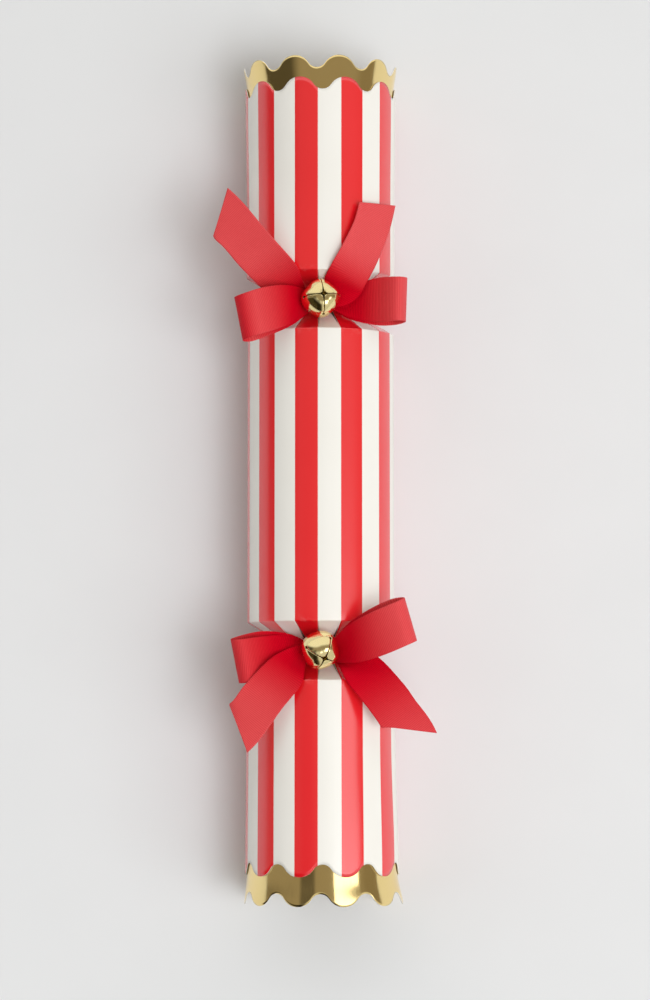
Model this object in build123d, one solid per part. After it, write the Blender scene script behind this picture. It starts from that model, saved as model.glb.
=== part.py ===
from build123d import *
from math import atan, atan2, cos, degrees, pi, radians, sin, sqrt, tan
import os

# A Christmas cracker lying on its seam. Its axis runs along Y, the barrel is centred on Y = 0,
# +Z is up and the table is Z = 0. The upper end is the one at +Y. Millimetres.

# Striped wrap
barrel_radius = 26.7  # outside of the barrel's paper
end_flare = 0.3  # how much the ends open out past the barrel, on the radius
barrel_length = 105.0  # from rim to rim
end_length = 70.0  # from an end's rim to the tips of its scalloped edge
choke_length = 21.0  # from the barrel's rim to the end's rim
neck_length = 1.0  # narrowest run, where the wrap tears
neck_radius = 9.5
wrap_thickness = 0.5
tear_gap = 0.1  # width of the tear line round the neck
stripe_pairs = 10  # a red and a cream stripe each, and one scallop
stripe_edge_angle = -2.0  # a stripe's edge, in degrees from the crest towards +X
slit_width = 0.7  # die-cut slit between two petals, at the neck
slit_start = 1.0  # from the rim to the tip of a slit
seam_lap = 13.0  # width of the glued lap along the underside
seam_press = 0.05  # how deep the barrel's lap is pressed flat

# Scalloped edges
scallop_depth = 4.6
lobe_share = 0.62  # of the lobe's and the valley's radii together, the lobe's part
wrap_scallop_angle = -16.5  # a lobe's tip, in degrees from the crest towards +X

# Gold liners in the two ends
liner_thickness = 0.6
liner_gap = 0.1  # glue line between liner and wrap
liner_inset = 20.0  # from the end's rim to the liner's inner edge
upper_liner_show = 8.0  # gold that stands out past the wrap
lower_liner_show = 10.5
upper_liner_angle = -21.0  # a lobe's tip, as for the wrap
lower_liner_angle = -18.0

# Card tube in the barrel
core_thickness = 0.8
core_gap = 0.1
core_inset = 1.5  # from the barrel's rim to the tube's edge

# Snap: two card strips that overlap in the middle
snap_width = 8.0
snap_thickness = 0.5
snap_overlap = 22.0
snap_gap = 0.5  # between the strips where they overlap
patch_length = 14.0
patch_margin = 1.0  # from a patch to the strip's edge
patch_thickness = 0.15
sleeve_length = 26.0
sleeve_thickness = 0.3
sleeve_clearance = 0.35
tab_length = 11.0  # glued to the wrap inside each end
tab_clearance = 0.1
tab_margin = 1.0  # from the tab to the liner's edge
strip_bend = 6.0  # radius of the strip's two bends

# Ribbon: one length of grosgrain tied round each choke
ribbon_width = 15.8
ribbon_thickness = 0.5
tie_half_width = 2.2  # the bunched ribbon in the groove of the choke
tie_clearance = 0.3
tie_crown = 0.3  # how much the bunch swells past its edges
knot_radius = 3.0
knot_half_width = 4.2
knot_end_radius = 2.3
bar_radius = 0.9  # the strand through the bell's loop
bar_half_width = 1.0
seat_gap = 0.1
strand_gap = 0.25  # between the knot and the ribbon that leaves it

# Jingle bells
bell_radius = 6.7
bell_wall = 0.45
bell_slot = 0.8
bell_slot_angle = 72.0  # from the petals' meeting point to a slot's end
bell_mouth_radius = 1.2
bell_above_knot = 0.3
upper_bell_lean = -4.0  # degrees that the petals' meeting point leans towards the cracker's end
lower_bell_lean = 30.0
loop_wire_radius = 0.45
loop_clearance = 0.35
loop_foot = 1.5
loop_hole_clearance = 0.05
pellet_radius = 1.9
pellet_clearance = 0.1

# Contents of the barrel
content_gap = 0.2
paper_thickness = 0.4
roll_pitch = 0.9
crown_length = 92.0
crown_core_radius = 5.4
crown_turns = 3
crown_points = 4
crown_point_depth = 8.0
crown_angle = -32.0  # where it lies, in degrees round from the bottom towards +X
motto_length = 52.0
motto_core_radius = 2.6
motto_turns = 2
motto_angle = 40.0
top_radius = 9.5
top_height = 27.0
top_stem_radius = 1.6
top_body_height = 12.0
top_shoulder_radius = 7.6  # of the body's round upper side
top_shoulder_height = 8.4  # from the body's lower edge
top_angle = 58.0

# Worked out from the above
end_radius = barrel_radius + end_flare
axis_height = barrel_radius + wrap_thickness - seam_press
crest_height = axis_height + end_radius
barrel_rim = barrel_length / 2
end_rim = barrel_rim + choke_length
neck_middle = barrel_rim + choke_length / 2
half_choke = choke_length / 2
shoulder_length = (choke_length - neck_length) / 2
wrap_tip = end_rim + end_length
petals = 2 * stripe_pairs
liner_outer = end_radius - wrap_thickness - liner_gap
liner_start = end_rim + liner_inset
core_outer = barrel_radius - wrap_thickness - core_gap
core_inner = core_outer - core_thickness
tie_inner = neck_radius + tie_clearance
tie_edge = tie_inner + tie_half_width * (end_radius - neck_radius) / shoulder_length
tie_outer = tie_edge + tie_crown
knot_height = axis_height + tie_outer + seat_gap + knot_radius
rise = crest_height - knot_height  # from the knot's middle up to the cracker's crest
bell_height = knot_height + knot_radius + bell_above_knot + bell_radius
bell_inner = bell_radius - bell_wall
loop_half = bar_radius + loop_clearance + loop_wire_radius  # from the loop's middle to each leg
foot_reach = loop_half + loop_foot
foot_level = 2 * loop_wire_radius - sqrt(bell_inner**2 - foot_reach**2)  # from the bell's middle
margin = 2.0  # how far a cutting piece runs past what it cuts


def along_cracker(piece):
    """Turns a piece built along +Z so that its axis is the cracker's."""
    return Pos(0, 0, axis_height) * Rot(-90, 0, 0) * piece


def at_lower_end(piece):
    return mirror(piece, about=Plane.XZ)


def round_axis(piece, count, first_angle):
    """Copies a piece made at the crest, before it is turned along the cracker."""
    return [Rot(0, 0, first_angle + k * 360 / count) * piece for k in range(count)]


def disc_run(radius, start, end):
    return Pos(0, 0, start) * extrude(Circle(radius), end - start)


def petal_ring(radius, height):
    """A polygon with a corner at each stripe's edge."""
    angles = [radians(stripe_edge_angle + k * 360 / petals) for k in range(petals)]
    corners = [(radius * sin(a), -radius * cos(a), height) for a in angles]
    return Wire.make_polygon(corners, close=True)


def shoulder(radius, rim, towards, skin):
    """The solid inside a choke's petals, from the rim to past the neck; skin is taken off all round."""
    slope = atan((radius - neck_radius) / shoulder_length)
    back = skin * tan(slope / 2)
    at_rim = rim - towards * back
    at_neck = at_rim + towards * shoulder_length
    past = rim + towards * (half_choke - tear_gap / 2)
    if skin:
        past = past + towards * margin
    rings = [
        petal_ring(radius - skin, at_rim),
        petal_ring(neck_radius - skin, at_neck),
        petal_ring(neck_radius - skin, past),
    ]
    return Part() + Solid.make_loft(rings, ruled=True)


def slits(radius, rim, towards):
    """Thin wedges between the petals, widest at the neck."""
    tip = rim + towards * slit_start
    wide = rim + towards * half_choke
    half = slit_width / 2
    wedge = make_face(Polyline((0, tip), (half, wide), (-half, wide), close=True))
    facing = Plane(origin=(0, 0, 0), x_dir=(1, 0, 0), z_dir=(0, -1, 0))
    inner = neck_radius - wrap_thickness - margin
    cutter = extrude(facing.offset(inner) * wedge, radius + margin - inner)
    return round_axis(cutter, petals, stripe_edge_angle)


def seam(radius, start, end):
    """The glued lap: the sheet climbs onto itself on one side and stops at a square edge on the other."""
    half_angle = seam_lap / 2 / radius
    under = radius - wrap_thickness / 2
    over = radius + wrap_thickness

    def at(distance, angle):
        return (distance * sin(angle), distance * cos(angle))

    climb = Polyline(at(under, -half_angle), at(radius, -half_angle), at(over, -half_angle / 2))
    top = ThreePointArc(at(over, -half_angle / 2), at(over, half_angle / 4), at(over, half_angle))
    edge = Line(at(over, half_angle), at(under, half_angle))
    back = ThreePointArc(at(under, half_angle), at(under, 0), at(under, -half_angle))
    lap = Pos(0, 0, start) * extrude(make_face([*climb.edges(), top, edge, back]), end - start)
    below = Box(4 * radius, radius, end - start + 2 * margin)
    return lap - Pos(0, axis_height + radius / 2, (start + end) / 2) * below


def scallops(radius, tip, angle):
    """Cutters that leave round lobes, tips at the given height, along the edge of a tube."""
    half_pitch = radius * sin(pi / stripe_pairs)
    both = (half_pitch**2 + scallop_depth**2) / (2 * scallop_depth)
    lobe = both * lobe_share
    valley = both - lobe
    turn = degrees(atan2(half_pitch, both - scallop_depth))
    right_lobe = CenterArc((half_pitch, tip - lobe), lobe, 90, turn)
    dip = CenterArc((0, tip - scallop_depth + valley), valley, turn - 90, -2 * turn)
    left_lobe = CenterArc((-half_pitch, tip - lobe), lobe, 90 - turn, turn)
    reach = half_pitch + margin / 4
    over = tip + margin
    frame = Polyline(
        (-half_pitch, tip), (-reach, tip), (-reach, over), (reach, over), (reach, tip), (half_pitch, tip)
    )
    outline = make_face([right_lobe, dip, left_lobe, *frame.edges()])
    facing = Plane(origin=(0, 0, 0), x_dir=(1, 0, 0), z_dir=(0, -1, 0))
    inner = radius * cos(pi / stripe_pairs) - margin
    cutter = extrude(facing.offset(inner) * outline, radius + margin - inner)
    return round_axis(cutter, stripe_pairs, angle + 180 / stripe_pairs)


def make_barrel_wrap():
    solid = disc_run(barrel_radius, -barrel_rim, barrel_rim)
    solid = solid + seam(barrel_radius, -barrel_rim, barrel_rim)
    slope = atan((barrel_radius - neck_radius) / shoulder_length)
    back = wrap_thickness * tan(slope / 2)
    hollow = disc_run(barrel_radius - wrap_thickness, back - barrel_rim, barrel_rim - back)
    cutters = []
    for towards in (1, -1):
        rim = towards * barrel_rim
        solid = solid + shoulder(barrel_radius, rim, towards, 0)
        hollow = hollow + shoulder(barrel_radius, rim, towards, wrap_thickness)
        cutters = cutters + slits(barrel_radius, rim, towards)
    return along_cracker(solid - hollow - cutters)


def make_end_wrap():
    over = wrap_tip + margin / 2
    solid = disc_run(end_radius, end_rim, over) + seam(end_radius, end_rim, over)
    solid = solid + shoulder(end_radius, end_rim, -1, 0)
    slope = atan((end_radius - neck_radius) / shoulder_length)
    back = wrap_thickness * tan(slope / 2)
    hollow = disc_run(end_radius - wrap_thickness, end_rim + back, over + margin)
    hollow = hollow + shoulder(end_radius, end_rim, -1, wrap_thickness)
    wrap = solid - hollow - slits(end_radius, end_rim, -1)
    return along_cracker(wrap - scallops(end_radius, wrap_tip, wrap_scallop_angle))


def make_gold_liner(show, angle):
    tip = wrap_tip + show
    over = tip + margin / 2
    tube = disc_run(liner_outer, liner_start, over)
    tube = tube - disc_run(liner_outer - liner_thickness, liner_start - margin, over + margin)
    return along_cracker(tube - scallops(liner_outer, tip, angle))


def make_core_tube():
    end = barrel_rim - core_inset
    return along_cracker(disc_run(core_outer, -end, end) - disc_run(core_inner, -end - margin, end + margin))


def make_snap_strip(side):
    """A strip from the overlap, through the neck and down to the wrap's inside; the top one has side +1."""
    level = axis_height + side * (snap_gap + snap_thickness) / 2
    wall = end_radius - wrap_thickness - tab_clearance
    edge_drop = sqrt(wall**2 - (snap_width / 2) ** 2)
    tab_level = axis_height - edge_drop + snap_thickness / 2
    tab_end = liner_start - tab_margin
    tab_start = tab_end - tab_length
    leave = neck_middle + half_choke / 2
    path = FilletPolyline(
        (0, -snap_overlap / 2, level),
        (0, leave, level),
        (0, tab_start, tab_level),
        (0, tab_end, tab_level),
        radius=strip_bend,
    )
    start = Plane(origin=(0, -snap_overlap / 2, level), x_dir=(1, 0, 0), z_dir=(0, 1, 0))
    return sweep(start * Rectangle(snap_width, snap_thickness), path=path.wire())


def make_patch(side):
    size = Box(snap_width - 2 * patch_margin, patch_length, patch_thickness)
    return Pos(0, 0, axis_height + side * (snap_gap - patch_thickness) / 2) * size


def make_snap_sleeve():
    """A flattened paper tube that sits under the lower strip and leaves the upper one free."""
    inner_width = snap_width + 2 * sleeve_clearance
    bottom = -snap_gap / 2 - snap_thickness
    top = snap_gap / 2 + snap_thickness + sleeve_clearance
    inside = Box(inner_width, sleeve_length + margin, top - bottom)
    outside = Box(inner_width + 2 * sleeve_thickness, sleeve_length, top - bottom + 2 * sleeve_thickness)
    return Pos(0, 0, axis_height + (top + bottom) / 2) * (outside - inside)


def make_neck_tie():
    """The ribbon bunched in the groove, a ring with a V-shaped inside."""
    section = make_face(
        [
            Line((tie_inner, 0), (tie_edge, tie_half_width)),
            ThreePointArc((tie_edge, tie_half_width), (tie_outer, 0), (tie_edge, -tie_half_width)),
            Line((tie_edge, -tie_half_width), (tie_inner, 0)),
        ]
    )
    ring = revolve(Plane.XZ * section, Axis.Z)
    return along_cracker(Pos(0, 0, neck_middle) * ring)


def make_knot():
    """Two round lobes on a thin strand, which the bell's loop hangs on."""
    half = [
        Line((0, 0), (0, bar_radius)),
        Line((0, bar_radius), (bar_half_width, bar_radius)),
        Line((bar_half_width, bar_radius), (bar_half_width, knot_end_radius)),
        ThreePointArc(
            (bar_half_width, knot_end_radius),
            ((bar_half_width + knot_half_width) / 2, knot_radius),
            (knot_half_width, knot_end_radius),
        ),
        Line((knot_half_width, knot_end_radius), (knot_half_width, 0)),
        Line((knot_half_width, 0), (0, 0)),
    ]
    lobe = revolve(make_face(half), Axis.X)
    return Pos(0, neck_middle, knot_height) * (lobe + mirror(lobe, about=Plane.YZ))


def root(side, level, gather):
    """Where a strand leaves the knot, level in knot radii above its middle."""
    x = side * (knot_half_width + strand_gap)
    return (x, neck_middle, knot_height + level * knot_radius, 90, 0, gather)


def spot(across, along, lift, yaw, roll, gather):
    """A place on a ribbon. across is in end radii from the axis, along in half chokes from the neck towards
    the end, and lift goes from 0 at the knot to 1 at the crest. The ribbon's width points at yaw degrees in
    plan, its far edge raised by roll degrees, and gather is the share of the width that lies flat there."""
    x = across * end_radius
    y = neck_middle + along * half_choke
    return (x, y, knot_height + lift * rise, yaw, roll, gather)


# Each ribbon piece is a list of places from the knot outwards, on the upper bow's side of the cracker.
upper_left_tail = [
    root(-1, -0.5, 0.25),
    spot(-0.36, 0.34, 0.47, 46, 16, 0.60),
    spot(-0.52, 0.70, 0.82, 42, 18, 0.94),
    spot(-0.83, 1.52, 1.02, 41, 13, 1.0),
    spot(-1.09, 2.30, 1.00, 41, 8, 1.0),
    spot(-1.33, 2.98, 0.90, 73, 8, 1.14),
]
upper_right_tail = [
    root(1, 0.6, 0.25),
    spot(0.30, 0.35, 0.52, 150, 6, 0.60),
    spot(0.37, 0.82, 0.91, 152, 22, 0.95),
    spot(0.52, 1.52, 0.80, 153, 31, 1.0),
    spot(0.68, 2.48, 0.60, 163, 36, 1.0),
    spot(0.765, 3.33, 0.43, 181, 37, 1.03),
]
upper_left_loop = [
    root(-1, 0.2, 0.25),
    spot(-0.39, -0.10, 0.68, 95, 0, 0.56),
    spot(-0.68, -0.38, 0.97, 100, 0, 1.0),
    spot(-0.96, -0.67, 1.12, 101, 0, 1.0),
    spot(-1.08, -0.77, 1.46, 101, 0, 1.0),
    spot(-0.96, -0.67, 1.80, 101, 0, 1.0),
    spot(-0.68, -0.43, 1.62, 100, 0, 1.0),
    spot(-0.41, -0.14, 1.06, 95, 0, 0.56),
    root(-1, 0.65, 0.25),
]
upper_right_loop = [
    root(1, -0.6, 0.25),
    spot(0.41, -0.02, 0.07, 90, 0, 0.66),
    spot(0.74, -0.02, 0.17, 90, 0, 1.0),
    spot(1.00, -0.02, 0.26, 89, 0, 1.0),
    spot(1.14, -0.02, 0.69, 88, 0, 1.0),
    spot(1.01, -0.02, 1.08, 89, 0, 1.0),
    spot(0.74, -0.02, 0.62, 90, 0, 1.0),
    spot(0.44, -0.02, 0.19, 90, 0, 0.66),
    root(1, -0.2, 0.25),
]
lower_left_tail = [
    root(-1, 0.6, 0.25),
    spot(-0.34, 0.31, 0.54, 44, 8, 0.60),
    spot(-0.47, 0.76, 0.98, 37, 10, 0.93),
    spot(-0.75, 1.58, 1.12, 34, 6, 1.0),
    spot(-0.94, 2.26, 1.05, 38, 6, 1.0),
    spot(-1.075, 2.65, 0.96, 70, 8, 1.2),
]
lower_right_tail = [
    root(1, -0.5, 0.25),
    spot(0.37, 0.28, 0.45, 134, 16, 0.60),
    spot(0.56, 0.66, 0.82, 142, 18, 0.95),
    spot(0.86, 1.55, 1.02, 147, 13, 1.0),
    spot(1.04, 2.20, 1.00, 152, 8, 1.0),
    spot(1.19, 2.70, 0.92, 187, 8, 1.2),
]
lower_left_loop = [
    root(-1, -0.6, 0.25),
    spot(-0.41, 0.05, 0.09, 88, 0, 0.64),
    spot(-0.71, 0.15, 0.27, 82, 0, 1.0),
    spot(-0.97, 0.27, 0.34, 79, 0, 1.0),
    spot(-1.13, 0.33, 0.66, 79, 0, 1.0),
    spot(-0.99, 0.28, 0.97, 79, 0, 1.0),
    spot(-0.71, 0.16, 0.54, 82, 0, 1.0),
    spot(-0.44, 0.05, 0.19, 88, 0, 0.64),
    root(-1, -0.2, 0.25),
]
lower_right_loop = [
    root(1, 0.2, 0.25),
    spot(0.39, -0.18, 0.68, 84, 0, 0.56),
    spot(0.69, -0.52, 1.00, 76, 0, 1.0),
    spot(1.00, -0.87, 1.18, 74, 0, 1.0),
    spot(1.18, -1.04, 1.54, 74, 0, 1.0),
    spot(1.06, -0.94, 1.90, 74, 0, 1.0),
    spot(0.72, -0.61, 1.66, 76, 0, 1.0),
    spot(0.42, -0.24, 1.06, 84, 0, 0.56),
    root(1, 0.65, 0.25),
]


def smoothed(places, steps):
    """Goes through the places on a smooth curve (Catmull-Rom), with steps to each span."""
    padded = [places[0], *places, places[-1]]
    out = []
    for before, here, there, after in zip(padded, padded[1:], padded[2:], padded[3:]):
        for step in range(steps):
            t = step / steps
            row = []
            for a, b, c, d in zip(before, here, there, after):
                bend = (2 * a - 5 * b + 4 * c - d) * t**2 + (3 * b - a - 3 * c + d) * t**3
                row.append(b + ((c - a) * t + bend) / 2)
            out.append(row)
    out.append(places[-1])
    return out


def make_ribbon(places, steps=3):
    """Thin cross-sections along the ribbon, joined by straight-ruled faces."""
    rows = smoothed(places, steps)
    centres = [Vector(*row[:3]) for row in rows]
    sections = []
    for k, row in enumerate(rows):
        ahead = centres[min(k + 1, len(rows) - 1)] - centres[max(k - 1, 0)]
        yaw, roll = radians(row[3]), radians(row[4])
        width = Vector(cos(yaw) * cos(roll), sin(yaw) * cos(roll), sin(roll))
        out = width * (ribbon_width * row[5] / 2)
        up = ahead.cross(width).normalized() * (ribbon_thickness / 2)
        centre = centres[k]
        corners = [centre + out + up, centre - out + up, centre - out - up, centre + out - up]
        sections.append(Wire.make_polygon(corners, close=True))
    return Part() + Solid.make_loft(sections, ruled=True)


def make_bell_shell(lean):
    """A round shell cut into four petals by crossed slots with round ends."""
    shell = Sphere(bell_radius) - Sphere(bell_inner)
    slot_end = bell_radius * cos(radians(bell_slot_angle))
    reach = 2 * bell_radius + margin
    slot = Pos(0, 0, slot_end + bell_radius / 2) * Box(reach, bell_slot, bell_radius)
    slot = slot + Pos(0, 0, slot_end) * Rot(0, 90, 0) * Cylinder(bell_slot, reach)
    mouth = Pos(0, 0, bell_radius) * Cylinder(bell_mouth_radius, bell_radius)
    petalled = Rot(-lean, 0, 0) * (shell - slot - Rot(0, 0, 90) * slot - mouth)
    leg_radius = loop_wire_radius + loop_hole_clearance
    leg = Pos(0, 0, -bell_radius) * Cylinder(leg_radius, bell_radius)
    legs = [Pos(0, side * loop_half, 0) * leg for side in (1, -1)]
    return Pos(0, neck_middle, bell_height) * (petalled - legs)


def make_bell_loop():
    """A bent wire: two feet inside the shell, two legs and a half turn under the knot's strand."""
    bar = knot_height - bell_height

    def leg(side):
        foot = (0, side * foot_reach, foot_level)
        bend = (0, side * loop_half, foot_level)
        return FilletPolyline(foot, bend, (0, side * loop_half, bar), radius=loop_foot / 2)

    turn = ThreePointArc((0, loop_half, bar), (0, 0, bar - loop_half), (0, -loop_half, bar))
    path = Wire([*leg(1).edges(), *turn.edges(), *leg(-1).edges()])
    start = Plane(origin=(0, foot_reach, foot_level), x_dir=(1, 0, 0), z_dir=(0, -1, 0))
    wire = sweep(start * Circle(loop_wire_radius), path=path)
    return Pos(0, neck_middle, bell_height) * wire


def pellet_rest():
    """Where the pellet lies, against the shell and one foot of the loop, from the bell's middle."""
    to_wall = bell_inner - pellet_radius - pellet_clearance
    to_foot = pellet_radius + loop_wire_radius + pellet_clearance
    down = (to_foot**2 - to_wall**2 - foot_level**2) / (-2 * foot_level)
    return sqrt(to_wall**2 - down**2), down


def make_pellet():
    aside, down = pellet_rest()
    return Pos(aside, neck_middle, bell_height + down) * Sphere(pellet_radius)


def half_ring(centre, radius, side):
    """Half a turn of paper, above the centre line for side +1 and below it for -1."""
    half = paper_thickness / 2
    ring = Circle(radius + half) - Circle(radius - half)
    reach = 4 * radius
    return Pos(centre, 0) * (ring & Pos(0, side * reach / 2) * Rectangle(reach, reach))


def make_roll(core_radius, turns, length):
    """Paper rolled up: half turns about two centres, each wider than the last by half the pitch."""
    sheet = Sketch()
    for k in range(2 * turns):
        centre = 0 if k % 2 == 0 else roll_pitch / 2
        sheet = sheet + half_ring(centre, core_radius + k * roll_pitch / 2, 1 if k % 2 == 0 else -1)
    return extrude(sheet, length)


def roll_radius(core_radius, turns):
    """Outside of the half turn that lies on the card tube."""
    return core_radius + (turns - 1) * roll_pitch + paper_thickness / 2


def lying(piece, radius, angle, start):
    """Lays a piece on the inside of the card tube, angle degrees round from the bottom towards +X."""
    reach = core_inner - radius - content_gap
    turned = radians(angle)
    return along_cracker(Pos(reach * sin(turned), reach * cos(turned), start) * piece)


def make_paper_crown():
    outer = roll_radius(crown_core_radius, crown_turns)
    roll = make_roll(crown_core_radius, crown_turns, crown_length)
    pitch = 2 * outer / crown_points
    top = crown_length + margin
    zigzag = [(-outer - margin, top), (-outer - margin, crown_length)]
    for k in range(crown_points):
        left = -outer + k * pitch
        zigzag = zigzag + [(left + pitch / 2, crown_length - crown_point_depth), (left + pitch, crown_length)]
    zigzag = zigzag + [(outer + margin, crown_length), (outer + margin, top)]
    cutter = extrude(Plane.XZ * make_face(Polyline(*zigzag, close=True)), 2 * outer, both=True)
    return lying(roll - cutter, outer, crown_angle, -crown_length / 2)


def make_motto_slip():
    outer = roll_radius(motto_core_radius, motto_turns)
    roll = make_roll(motto_core_radius, motto_turns, motto_length)
    return lying(roll, outer, motto_angle, core_inset - barrel_rim)


def make_spinning_top():
    """A turned wooden top: a point, a round body and a stem to twirl."""
    body_start = (top_height - top_body_height) / 4
    body_end = body_start + top_body_height
    stem = [
        Line((0, 0), (top_radius, body_start + top_body_height / 3)),
        ThreePointArc(
            (top_radius, body_start + top_body_height / 3),
            (top_shoulder_radius, body_start + top_shoulder_height),
            (top_stem_radius, body_end),
        ),
        Line((top_stem_radius, body_end), (top_stem_radius, top_height)),
        Line((top_stem_radius, top_height), (0, top_height)),
        Line((0, top_height), (0, 0)),
    ]
    turned = revolve(Plane.XZ * make_face(stem), Axis.Z)
    return lying(turned, top_radius, top_angle, motto_length + 2 * core_inset - barrel_rim)


upper = {
    "upper_end_wrap": make_end_wrap(),
    "upper_gold_liner": make_gold_liner(upper_liner_show, upper_liner_angle),
    "upper_snap_strip": make_snap_strip(1),
    "upper_neck_tie": make_neck_tie(),
    "upper_knot": make_knot(),
    "upper_left_loop": make_ribbon(upper_left_loop),
    "upper_right_loop": make_ribbon(upper_right_loop),
    "upper_left_tail": make_ribbon(upper_left_tail),
    "upper_right_tail": make_ribbon(upper_right_tail),
    "upper_bell_shell": make_bell_shell(upper_bell_lean),
    "upper_bell_loop": make_bell_loop(),
    "upper_bell_pellet": make_pellet(),
}
lower = {
    "lower_end_wrap": make_end_wrap(),
    "lower_gold_liner": make_gold_liner(lower_liner_show, lower_liner_angle),
    "lower_snap_strip": make_snap_strip(-1),
    "lower_neck_tie": make_neck_tie(),
    "lower_knot": make_knot(),
    "lower_left_loop": make_ribbon(lower_left_loop),
    "lower_right_loop": make_ribbon(lower_right_loop),
    "lower_left_tail": make_ribbon(lower_left_tail),
    "lower_right_tail": make_ribbon(lower_right_tail),
    "lower_bell_shell": make_bell_shell(lower_bell_lean),
    "lower_bell_loop": make_bell_loop(),
    "lower_bell_pellet": make_pellet(),
}
pieces = {
    "barrel_wrap": make_barrel_wrap(),
    "barrel_core_tube": make_core_tube(),
    "snap_charge_patch": make_patch(1),
    "snap_abrasive_patch": make_patch(-1),
    "snap_sleeve": make_snap_sleeve(),
    "paper_crown": make_paper_crown(),
    "motto_slip": make_motto_slip(),
    "spinning_top": make_spinning_top(),
}
pieces.update(upper)
pieces.update({name: at_lower_end(piece) for name, piece in lower.items()})

os.makedirs("parts", exist_ok=True)
for name, piece in pieces.items():
    export_step(piece, f"parts/{name}.step")
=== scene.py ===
import bpy
import numpy as np
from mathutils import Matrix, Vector


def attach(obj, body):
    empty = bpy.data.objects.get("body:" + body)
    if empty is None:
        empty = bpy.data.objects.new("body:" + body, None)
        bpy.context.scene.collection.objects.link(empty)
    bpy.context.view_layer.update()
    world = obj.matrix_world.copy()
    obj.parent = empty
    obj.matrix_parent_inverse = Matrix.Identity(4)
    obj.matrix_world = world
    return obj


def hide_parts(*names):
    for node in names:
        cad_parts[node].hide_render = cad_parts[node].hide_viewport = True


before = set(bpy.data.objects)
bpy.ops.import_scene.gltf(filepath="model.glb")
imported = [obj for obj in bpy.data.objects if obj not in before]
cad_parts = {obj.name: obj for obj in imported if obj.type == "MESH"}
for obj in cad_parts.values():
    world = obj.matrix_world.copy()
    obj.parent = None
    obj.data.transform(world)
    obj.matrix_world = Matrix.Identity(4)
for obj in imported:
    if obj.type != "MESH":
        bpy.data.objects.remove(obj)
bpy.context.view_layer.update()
mm = 0.001  # shapes are worked out in millimetres and written in metres
print("frame loaded")


# Camera, placed so that the rims and scallop tips fall where the photograph has them
camera = {"place": (1.6, -95.1, 1279.0), "aim": (1.6, -7.6, 27.15), "lens": 123.9, "sensor": 36.0}
cameraData = bpy.data.cameras.new("camera")
cameraData.lens = camera["lens"]
cameraData.sensor_width = camera["sensor"]
cameraObject = bpy.data.objects.new("camera", cameraData)
bpy.context.scene.collection.objects.link(cameraObject)
cameraObject.location = Vector(camera["place"]) * mm
lookAlong = Vector(camera["aim"]) - Vector(camera["place"])
cameraObject.rotation_euler = lookAlong.to_track_quat("-Z", "Y").to_euler()
bpy.context.scene.camera = cameraObject
bpy.context.scene.view_settings.view_transform = "Standard"
print("camera placed")


# Small tools
def ease(t):
    # 0 below 0, 1 above 1, and a smooth S between
    t = np.clip(t, 0.0, 1.0)
    return t * t * (3.0 - 2.0 * t)


def joined(*parts):
    # arrays of coordinates, spread to one shape and set side by side
    return np.stack(np.broadcast_arrays(*parts), -1)


def skin(name, sets, centre=None):
    # Each set is points, uv and a third array: points is patch, row, column, xyz in millimetres, and the
    # third is rubbed wear on the paper and painted shade on the ribbons, kept as a point attribute. Quads
    # join neighbours in a patch, points of any patch that meet are welded, and a quad with a doubled corner
    # becomes a triangle.
    corners, points, uvs, wearAndShadeValues, start = [], [], [], [], 0
    for grid, uv, wearAndShade in sets:
        count, rows, cols = grid.shape[:3]
        step = np.arange(rows - 1)[:, None] * cols + np.arange(cols - 1)[None, :]
        quad = np.stack([step, step + 1, step + cols + 1, step + cols], -1).reshape(-1, 4)
        quad = (np.arange(count)[:, None, None] * rows * cols + quad).reshape(-1, 4)
        spots = grid.reshape(-1, 3)
        if centre is not None:  # faces look away from the middle that is given
            side = spots[quad]
            facing = np.cross(side[:, 2] - side[:, 0], side[:, 3] - side[:, 1])
            if (facing * (side.mean(1) - centre(side.mean(1)))).sum() < 0:
                quad = quad[:, ::-1]
        corners.append(start + quad)
        points.append(spots)
        uvs.append(uv.reshape(-1, 2))
        wearAndShadeValues.append(np.broadcast_to(wearAndShade, grid.shape[:3]).reshape(-1))
        start += len(spots)
    corners, points = np.concatenate(corners), np.concatenate(points)
    uvs, wearAndShadeValues = np.concatenate(uvs), np.concatenate(wearAndShadeValues)
    kept, back = np.unique(np.round(points, 3), axis=0, return_index=True, return_inverse=True)[1:]
    welded = back.reshape(-1)[corners]
    real = welded != np.roll(welded, -1, axis=1)
    whole = real.sum(1) > 2
    welded, real, corners = welded[whole], real[whole], corners[whole]
    totals = real.sum(1)
    mesh = bpy.data.meshes.new(name)
    mesh.vertices.add(len(kept))
    mesh.vertices.foreach_set("co", (points[kept] * mm).ravel())
    mesh.loops.add(int(totals.sum()))
    mesh.loops.foreach_set("vertex_index", welded[real])
    mesh.polygons.add(len(totals))
    mesh.polygons.foreach_set("loop_start", np.concatenate([[0], np.cumsum(totals)[:-1]]))
    mesh.update(calc_edges=True)
    mesh.uv_layers.new(name="flat").uv.foreach_set("vector", uvs[corners[real]].ravel())
    mesh.attributes.new("wearAndShade", "FLOAT", "POINT").data.foreach_set("value", wearAndShadeValues[kept])
    mesh.shade_smooth()
    mesh.validate()
    piece = bpy.data.objects.new(name, mesh)
    bpy.context.scene.collection.objects.link(piece)
    return piece


def thicken(piece, thickness, offset, inside=0, rim=0):
    # a sheet gets its thickness: offset -1 goes inwards, 0 both ways; inside and rim pick other finishes
    wall = piece.modifiers.new("wall", "SOLIDIFY")
    wall.thickness = thickness * mm
    wall.offset = offset
    wall.use_even_offset = True
    wall.thickness_clamp = 1.0
    wall.material_offset = inside
    wall.material_offset_rim = rim


def dress(piece, body, slot, finishes, *nodes):
    # finishes on, and the piece stands for its nodes on their body
    for finish in finishes:
        piece.data.materials.append(finish)
    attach(piece, body)
    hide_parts(*nodes)


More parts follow.
